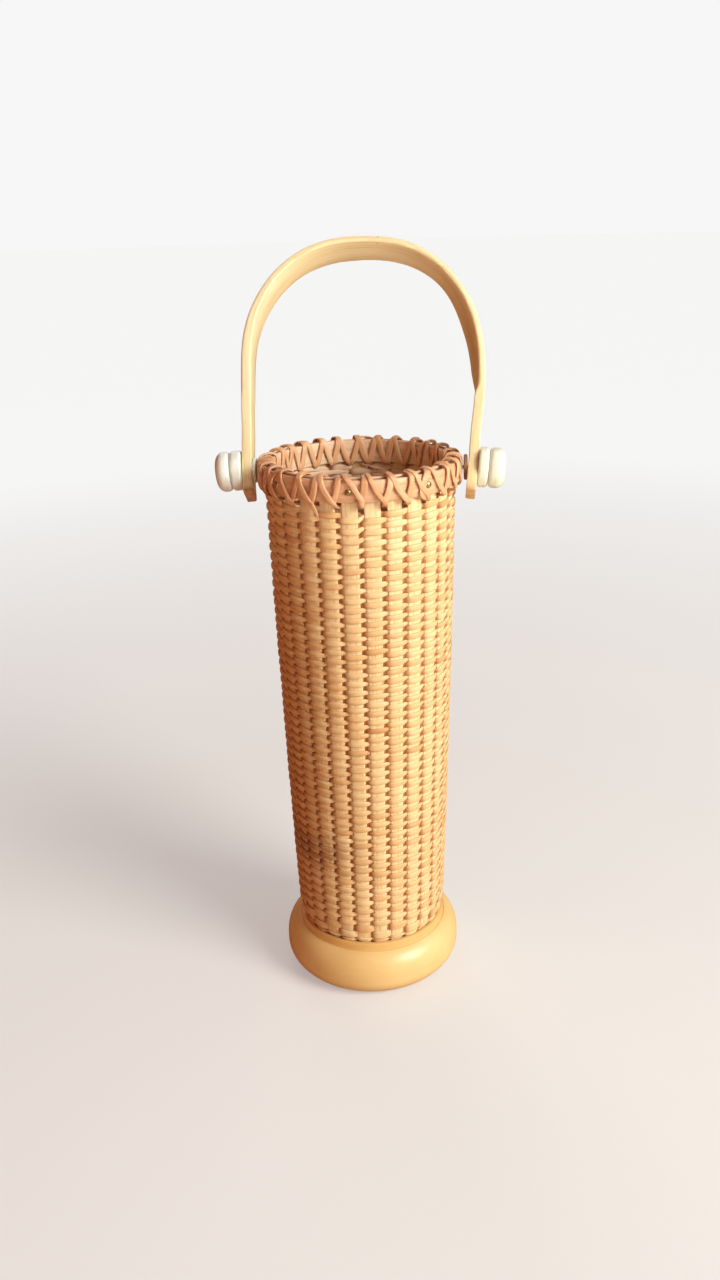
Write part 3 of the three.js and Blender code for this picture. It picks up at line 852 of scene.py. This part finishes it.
def build_lashing(name, cad, direction, outside, inside, lift_top, half_width, seed):
    """One flat strap of cane round the rim."""
    line = catmull(strap_stops(direction, outside, inside, lift_top, seed), 5)
    line[:, 2] = clear_of_pegs(line[:, 2], line[:, 1], line[:, 0])
    r, z, a = line[:, 0], line[:, 1], line[:, 2]
    # The strap's outward normal comes from the turn of its section
    kernel = np.ones(5) / 5
    dr = np.convolve(np.gradient(r), kernel, "same")
    dz = np.convolve(np.gradient(z), kernel, "same")
    size = np.hypot(dr, dz) + 1e-9
    outward = round_axis(dz / size, a, -dr / size)
    count = len(line)
    squeeze = np.interp(line[:, 3] % 1.0, [0, 0.06, 0.2, 0.85, 1.0], [0.55, 0.66, 1.0, 1.0, 0.62])
    half_w = half_width * (1 + 0.08 * smooth_noise(count, 40, seed + 1)) * squeeze
    half_t = STRAP_HALF_T + 0.08 * (1 - squeeze)
    # Painted shade at the low end of each wrap, where the strap goes in under the weave
    flat_band(name, round_axis(r, a, z), outward, STRAP_SECTION, half_t, half_w, STRAP, "lashing", cad, 0,
              tint=0.5 + 0.13 * smooth_noise(count, 30, seed + 2), lane=seed * 0.9,
              depth=np.clip(1 - (z - WRAP_LOW) / 1.6, 0, 1))


def strip(name, stops, half_w, half_t, material, slot, cad, tint, pointed=0.0):
    """A loose flat end of cane along stops of (angle in degrees, radius, height)."""
    stops = np.array(stops, dtype=float)
    line = catmull(np.concatenate([2 * stops[:1] - stops[1:2], stops, 2 * stops[-1:] - stops[-2:-1]]), 6)
    line = np.concatenate([line, stops[-1:]])
    a = np.radians(line[:, 0])
    pos = round_axis(line[:, 1], a, line[:, 2])
    inward = -round_axis(np.ones(len(a)), a, np.zeros(len(a)))
    way = np.linspace(0, 1, len(pos))
    width = half_w * np.clip(np.minimum(way * 8 + 0.6, (1 - way) / max(pointed, 0.04) + 0.12), 0, 1)
    section = rounded_box(half_t, 1.0, half_t * 0.6, 2)
    flat_band(name, pos, inward, section, np.ones(len(pos)), width, material, slot, cad, 40,
              lane=tint * 9, depth=0.0, tint=tint, inside=1.0 * (slot == "woven_wall"))


def build_loose_ends():
    """Ends of the weaver left standing inside under the rim, and the tail of a strap at the front."""
    wall = "woven_wall"
    strip("weaver_end_1", [(146, 43.3, 276.6), (136, 43.2, 277.0), (126, 43.2, 276.6), (117, 43.5, 275.9)],
          1.15, 0.28, CANE, wall, wall, 0.42)
    strip("weaver_end_2", [(136, 43.5, 274.3), (126, 43.2, 274.1), (114, 43.1, 273.8), (101, 43.3, 273.4)],
          1.15, 0.28, CANE, wall, wall, 0.3, pointed=0.2)
    strip("weaver_sliver", [(92, 43.2, 277.2), (84, 42.6, 275.9), (76, 42.6, 274.2), (69, 43.3, 272.6)],
          0.32, 0.2, CANE, wall, wall, 0.6, pointed=0.3)
    tail = [(-113.6, 50.4, 279.2), (-112.4, 50.5, 277.2), (-111.2, 50.1, 275.0), (-110.0, 49.6, 272.6)]
    strip("strap_tail", tail, 0.95, 0.34, STRAP, "lashing", "lashing_second_strand", 0.5, pointed=0.4)


# Turned and bent pieces

# The fine crease over the foot and the neck above it, as radius and height
CREASE_AND_NECK = [
    (41.62, 26.92), (41.4, 26.9), (41.28, 26.82), (41.2, 27.0), (41.1, 27.5), (40.98, 28.4),
    (40.85, 29.4), (40.7, 30.3), (40.45, 30.8), (40.1, COLLAR_H)]


def build_base():
    """A round foot, a fine crease and a short neck that rises under the first row of the weave."""
    stave_in = float(stave_radius(WEAVE_FOOT)) - STAVE_T / 2
    groove_in = stave_in - SEAT_GAP
    groove_out = math.hypot(stave_in + STAVE_T, STAVE_FOOT_W / 2) + SEAT_GAP
    groove_floor = COLLAR_H - GROOVE_DEPTH
    profile = [(0, 0), (20, 0), (FOOT_CENTRE_R - 1.5, 0)]
    profile += arc(FOOT_CENTRE_R, FOOT_LOWER_H, FOOT_BULGE, FOOT_LOWER_H, -88, 0, 18)
    profile += arc(FOOT_CENTRE_R, FOOT_UPPER_H, FOOT_BULGE, FOOT_UPPER_H, 0, 66, 24)
    profile += CREASE_AND_NECK
    profile += [(groove_out, COLLAR_H), (groove_out, groove_floor), (groove_in, groove_floor)]
    profile += [(groove_in, COLLAR_H), (20, COLLAR_H), (0, COLLAR_H)]
    verts, faces = lathe(profile, 200)
    piece("turned_base", verts, faces, TURNED, "basket", "base", sharp=32)


def place_handle(verts):
    """From the upright frame about the pins to the row frame, with the handle leaning back."""
    verts = np.asarray(verts, dtype=float)
    c, s = math.cos(LEAN), math.sin(LEAN)
    out = verts.copy()
    out[..., 1] = verts[..., 1] * c - verts[..., 2] * s
    out[..., 2] = verts[..., 1] * s + verts[..., 2] * c + PIN_Z
    return out


def arm_face(h):
    drop = max(ARCH_FOOT - h, 0) / ARCH_FOOT
    return ARM_SPREAD + ARCH_FLARE - ARCH_FLARE * drop ** 1.5


def handle_line():
    """The band's outer face from the right ear over the arch to the left one, as (x, height)."""
    face = [(arm_face(h), h) for h in (-ARM_DROP, -ARM_DROP + 0.15, -ARM_DROP + 0.5, -ARM_DROP + 1.1)]
    face += [(arm_face(h), h) for h in np.linspace(-ARM_DROP + 2, ARCH_FOOT, 30)]
    spread = ARM_SPREAD + ARCH_FLARE
    steps, power = 46, 2 / 2.35
    for k in range(1, steps + 1):
        a = k / steps * math.pi / 2
        rise = (ARCH_TOP - ARCH_FOOT) * math.sin(a) ** power
        face.append((spread * math.cos(a) ** power, ARCH_FOOT + rise))
    face[-1] = (0.0, ARCH_TOP)
    face += [(-x, h) for x, h in reversed(face[:-1])]
    face = np.array(face)
    x, h = face[:, 0].copy(), face[:, 1].copy()
    fuller = hump(h, *FULLER_SHOULDERS) + hump(h, *SLIMMER_EARS)
    face[:, 0] += fuller * x / 60 + hump(h, *ARMS_TO_RIGHT)
    face[:, 1] += hump(h, *TOP_RAISED)
    return face


def build_handle():
    """One bent band: flat ears at the pins, rounded arms and a wide, thin arch."""
    face = handle_line()
    run = unit(np.gradient(face, axis=0))
    rings, across, ends = [], [], []
    total = len(face)
    for i, (x, h) in enumerate(face):
        right = x > 0
        ear = 1 - smoothstep(h, 35, 41)
        # The right arm is thinner above the ear, and twisted a little towards the front
        arm = RIGHT_ARM_T if x >= 0 else LEFT_ARM_T
        band = arm + (BAND_T - arm) * smoothstep(h, 50, 122)
        twist = RIGHT_ARM_TWIST * smoothstep(h, 35, 56) * (1 - smoothstep(h, 78, 112)) if right else 0.0
        thick = band + (EAR_T - band) * ear
        width = EAR_W + (BAND_W - EAR_W) * smoothstep(h, 5, 85)
        pull = {0: 1.3, 1: 0.75, 2: 0.35, 3: 0.1}.get(min(i, total - 1 - i), 0.0)
        outward = np.array([run[i, 1], -run[i, 0]])
        centre = np.array([x, h]) - outward * (thick / 2 + 4.4 * twist)
        corner = (1.1 if x < 0 else 1.45) * (1 - ear) + 0.55 * ear
        outline = rounded_box(thick / 2 - 0.4 * pull, width / 2 - pull, corner, 4)
        turned = outline[:, 0] * math.cos(twist) - outline[:, 1] * math.sin(twist)
        ring = np.empty((len(outline), 3))
        ring[:, 0] = centre[0] + turned * outward[0]
        ring[:, 1] = outline[:, 1] * math.cos(twist) + outline[:, 0] * math.sin(twist)
        ring[:, 2] = centre[1] + turned * outward[1]
        rings.append(ring)
        across.append(outline[:, 1] + outline[:, 0] * 0.7)
        # The lower ends of the arms are darker, the left one more
        end_darkening, rise = (0.6, 5) if right else (1.7, 4.5)
        ends.append(np.full(len(outline), end_darkening * (1 - smoothstep(h, -ARM_DROP, -ARM_DROP + rise))))
    rings = np.array(rings)
    sides = rings.shape[1]
    attrs = {
        "along": np.repeat(run_length(face), sides),
        "across": np.concatenate(across),
        "lane": np.full(total * sides, 4.2),
        "ends": np.concatenate(ends),
    }
    piece("bent_handle", place_handle(rings), tube_faces(total, sides), HANDLE, "handle",
          "handle", attrs, sharp=45)


def turn_to_side(verts, side, slant=0.0, out=0.0):
    """From +Z up to lying along the pins: +X for the right end, mirrored by half a turn for the left."""
    v = np.asarray(verts, dtype=float)
    a = math.pi / 2 + slant
    x = v[:, 2] * math.sin(a) + v[:, 0] * math.cos(a) + out
    z = v[:, 2] * math.cos(a) - v[:, 0] * math.sin(a)
    res = np.stack([x, v[:, 1], z], axis=1)
    if side < 0:
        res[:, 0] *= -1
        res[:, 1] *= -1
    return place_handle(res)


def knob_profile(inner):
    """Two discs with soft edges and a narrow groove between them, the first one 'inner' thick."""
    profile = [(0, 0), (KNOB_R - 1.3, 0)]
    profile += arc(KNOB_R - 1.2, 1.2, 1.2, 1.2, -82, 0, 5)
    profile += arc(KNOB_R - 1.5, inner - 1.75, 1.5, 1.6, 0, 78, 6)
    profile += [(KNOB_R - KNOB_GROOVE, inner)]
    profile += arc(KNOB_R - 2.1, inner + 2.15, 2.1, 2.0, -78, 0, 7)
    profile += arc(KNOB_R - 4.8, KNOB_LENGTH - 4.3, 4.8, 4.2, 0, 84, 14)
    profile += [(3.2, KNOB_LENGTH + 0.05), (1.6, KNOB_LENGTH + 0.13), (0, KNOB_LENGTH + 0.16)]
    return profile


def washer_section():
    edge = 0.25
    bore = PIN_R + SEAT_GAP
    return [(bore, WASHER_FROM), (WASHER_R - SEAT_GAP, WASHER_FROM), (WASHER_R, WASHER_FROM + edge),
            (WASHER_R, WASHER_TO - edge), (WASHER_R - SEAT_GAP, WASHER_TO), (bore, WASHER_TO)]


def pin_profile():
    """A rod with a round head inside the rim."""
    return [(0, PIN_HEAD_FROM), (PIN_HEAD_R / 2, PIN_HEAD_FROM + 0.1),
            (PIN_HEAD_R - 0.3, PIN_HEAD_FROM + 0.5), (PIN_HEAD_R, PIN_HEAD_TO - 0.25),
            (PIN_HEAD_R, PIN_HEAD_TO), (PIN_R, PIN_HEAD_TO), (PIN_R, PIN_END - 0.1), (0, PIN_END)]


def build_ends():
    """A knob, a washer and a pin on each side. The knobs follow the slant of the ears."""
    step = 0.3
    slant = math.atan2(arm_face(step) - arm_face(-step), 2 * step)
    # The right washer is painted dark for the shade of the arm; the left one is bone
    ends = ((1, "right", RIGHT_KNOB_DISC, WASHER_SHADED), (-1, "left", LEFT_KNOB_DISC, BONE))
    for side, label, disc, washer_look in ends:
        verts, faces = lathe(knob_profile(disc), 72)
        knob = turn_to_side(verts, side, slant, ARM_SPREAD + 0.25)
        piece(f"{label}_turned_knob", knob, faces, BONE, "handle", f"{label}_knob")
        verts, faces = ring_lathe(washer_section(), 56)
        washer = turn_to_side(verts.reshape(-1, 3), side)
        piece(f"{label}_thin_washer", washer, faces, washer_look, "handle", f"{label}_washer")
        verts, faces = lathe(pin_profile(), 32)
        pin = turn_to_side(verts, side)
        piece(f"{label}_pin_rod", pin, faces, BRASS, "handle", f"{label}_pin")


def build_nails():
    """Round-headed nails through both hoops."""
    shank = [(0, -4.6), (NAIL_SHANK_R, -4.4), (NAIL_SHANK_R, -0.1)]
    dome = arc(0, 0.1, NAIL_HEAD_R, NAIL_HEAD_H - 0.1, 0, 84, 8)
    profile = [*shank, (NAIL_HEAD_R - 0.05, 0.0), *dome, (0, NAIL_HEAD_H)]
    for number, turns in enumerate(NAIL_TURNS):
        verts, faces = lathe(profile, 28)
        x = verts[:, 2] + HOOP_OUT + 0.02
        y = verts[:, 1]
        c, s = math.cos(turns * PITCH), math.sin(turns * PITCH)
        placed = np.stack([x * c - y * s, x * s + y * c, PIN_Z - verts[:, 0]], axis=1)
        piece(f"nail_{number + 1}", placed, faces, BRASS, "basket", f"rim_nail_{number + 1}")


# Floor, light and camera

def build_stage():
    """A plain pale floor: it takes the shadow near the object and pales out away from it."""
    mesh = bpy.data.meshes.new("floor")
    spokes = 64
    verts, faces = lathe([(600, 0), (1500, 0), (4000, 0), (14000, 0)], spokes)
    verts = np.concatenate([verts, [[0, 0, 0]]])
    faces += [[k, (k + 1) % spokes, len(verts) - 1] for k in range(spokes)]
    verts[:, 2] = -0.05
    mesh.from_pydata((verts * MM).tolist(), [], faces)
    s = Shade("floor_paint")
    link = s.tree.links.new
    cloud = s.noise(s.place(), 3.0, 3, 0.5)
    s.done(s.ramp(cloud, [(0.3, (0.86, 0.85, 0.83)), (0.7, (0.89, 0.88, 0.86))]), 0.8)
    x, y, z = s.split(s.place())
    away = s.math("SQRT", s.math("ADD", s.times(x, x), s.times(y, y)))
    far = s.math("SMOOTH_MIN", s.span(away, 0.25, 1.35), 1.0, 0.2)
    far = s.linear(far, 0.64, 0.36, clamp=True)
    glow = s.node("Emission")
    glow.inputs["Color"].default_value = (0.93, 0.93, 0.925, 1)
    pale = s.node("MixShader")
    link(far, pale.inputs[0])
    link(s.bsdf.outputs[0], pale.inputs[1])
    link(glow.outputs[0], pale.inputs[2])
    # Light thrown back up is brown on the left and paler on the right
    bounce = s.node("BsdfDiffuse")
    across = s.span(x, -0.277, 0.1077)
    link(s.ramp(across, [(0.0, (0.52, 0.23, 0.11)), (1.0, (0.58, 0.45, 0.33))]), bounce.inputs["Color"])
    path = s.node("LightPath")
    both = s.node("MixShader")
    link(path.outputs["Is Camera Ray"], both.inputs[0])
    link(bounce.outputs[0], both.inputs[1])
    link(pale.outputs[0], both.inputs[2])
    link(both.outputs[0], s.tree.nodes["Material Output"].inputs["Surface"])
    mesh.materials.append(s.material)
    floor = bpy.data.objects.new("floor", mesh)
    bpy.context.collection.objects.link(floor)


def lamp(name, place, target, size, power, color, shiny=True, spread=180):
    light = bpy.data.lights.new(name, "AREA")
    light.shape = "DISK"
    light.size = size
    light.energy = power
    light.color = color
    light.spread = math.radians(spread)
    obj = bpy.data.objects.new(name, light)
    obj.location = place
    obj.rotation_euler = (Vector(target) - Vector(place)).to_track_quat("-Z", "Y").to_euler()
    obj.visible_glossy = shiny
    bpy.context.collection.objects.link(obj)


def build_light():
    """Strong light from the right front, dim warm light beside it and soft light from behind."""
    lamp("window", (1.36, -0.88, 0.98), (0, 0, 0.17), 1.0, 34.5, (1.0, 0.985, 0.92))
    lamp("room", (1.0, -1.35, 0.08), (0, 0, 0.2), 0.5, 5.2, (1.0, 0.96, 0.87), shiny=False)
    lamp("left", (-1.3, -0.9, 0.6), (0, 0, 0.17), 1.2, 3.0, (1.0, 0.42, 0.22), shiny=False)
    lamp("low", (0.35, -1.15, 0.1), (0.03, 0.07, 0.46), 0.3, 0.13, (1.0, 0.97, 0.9), shiny=False, spread=20)
    lamp("back", (-0.5, 1.5, 1.2), (0, 0, 0.2), 1.0, 5.0, (1.0, 0.96, 0.92))


def build_world():
    """Pale where the camera sees it, and otherwise dim light from all sides."""
    world = bpy.data.worlds.new("room")
    bpy.context.scene.world = world
    world.use_nodes = True
    tree = world.node_tree
    tree.nodes.clear()
    link = tree.links.new

    def node(kind):
        return tree.nodes.new("ShaderNode" + kind)

    out, mix, path = node("OutputWorld"), node("MixShader"), node("LightPath")
    seen, lit = node("Background"), node("Background")
    seen.inputs["Color"].default_value = (0.93, 0.93, 0.93, 1)
    # That light is red-brown on the left and pale on the right
    where, parts, ramp = node("TexCoord"), node("SeparateXYZ"), node("ValToRGB")
    shift = node("Math")
    shift.operation = "MULTIPLY_ADD"
    shift.inputs[1].default_value = 0.5
    shift.inputs[2].default_value = 0.5
    link(where.outputs["Generated"], parts.inputs[0])
    link(parts.outputs[0], shift.inputs[0])
    link(shift.outputs[0], ramp.inputs[0])
    stops = [(0.27, (0.2, 0.06, 0.026, 1)), (0.82, (0.39, 0.38, 0.355, 1))]
    for element, (place, color) in zip(ramp.color_ramp.elements, stops):
        element.position = place
        element.color = color
    link(ramp.outputs[0], lit.inputs["Color"])
    either = node("Math")
    either.operation = "MAXIMUM"
    link(path.outputs["Is Camera Ray"], either.inputs[0])
    link(path.outputs["Is Transmission Ray"], either.inputs[1])
    link(either.outputs[0], mix.inputs[0])
    link(lit.outputs[0], mix.inputs[1])
    link(seen.outputs[0], mix.inputs[2])
    link(mix.outputs[0], out.inputs[0])


def build_camera():
    """The photograph's camera: its place in metres and its angles were fitted to the photo."""
    away, height = 0.5371, 0.4057
    pitch, roll, yaw, turn = 0.37661, 0.02941, -0.0046, math.radians(3.5)
    f = Vector((math.sin(yaw) * math.cos(pitch), math.cos(yaw) * math.cos(pitch), -math.sin(pitch)))
    right = Vector((math.cos(yaw), -math.sin(yaw), 0))
    down = f.cross(right)
    r2 = math.cos(roll) * right + math.sin(roll) * down
    d2 = -math.sin(roll) * right + math.cos(roll) * down
    spin = Matrix.Rotation(turn, 3, "Z")
    place = spin @ Vector((0, -away, height))
    axes = Matrix((spin @ r2, spin @ -d2, spin @ -f)).transposed()
    data = bpy.data.cameras.new("camera")
    data.sensor_width = 36
    data.lens = 30.94
    data.clip_start = 0.01
    data.clip_end = 60
    cam = bpy.data.objects.new("camera", data)
    cam.matrix_world = Matrix.Translation(place) @ axes.to_4x4()
    bpy.context.collection.objects.link(cam)
    bpy.context.scene.camera = cam


build_camera()
build_base()
build_staves()
build_weave()
build_hoops()
build_lashing("lashing_over", "lashing_second_strand", -1, OVER_OUT, OVER_IN, 0.8, 1.4, 31)
build_lashing("lashing_under", "lashing_first_strand", 1, UNDER_OUT, UNDER_IN, 0.0, 1.5, 32)
build_loose_ends()
build_nails()
build_handle()
build_ends()
build_stage()
build_light()
build_world()

bpy.context.scene.view_settings.view_transform = "Standard"
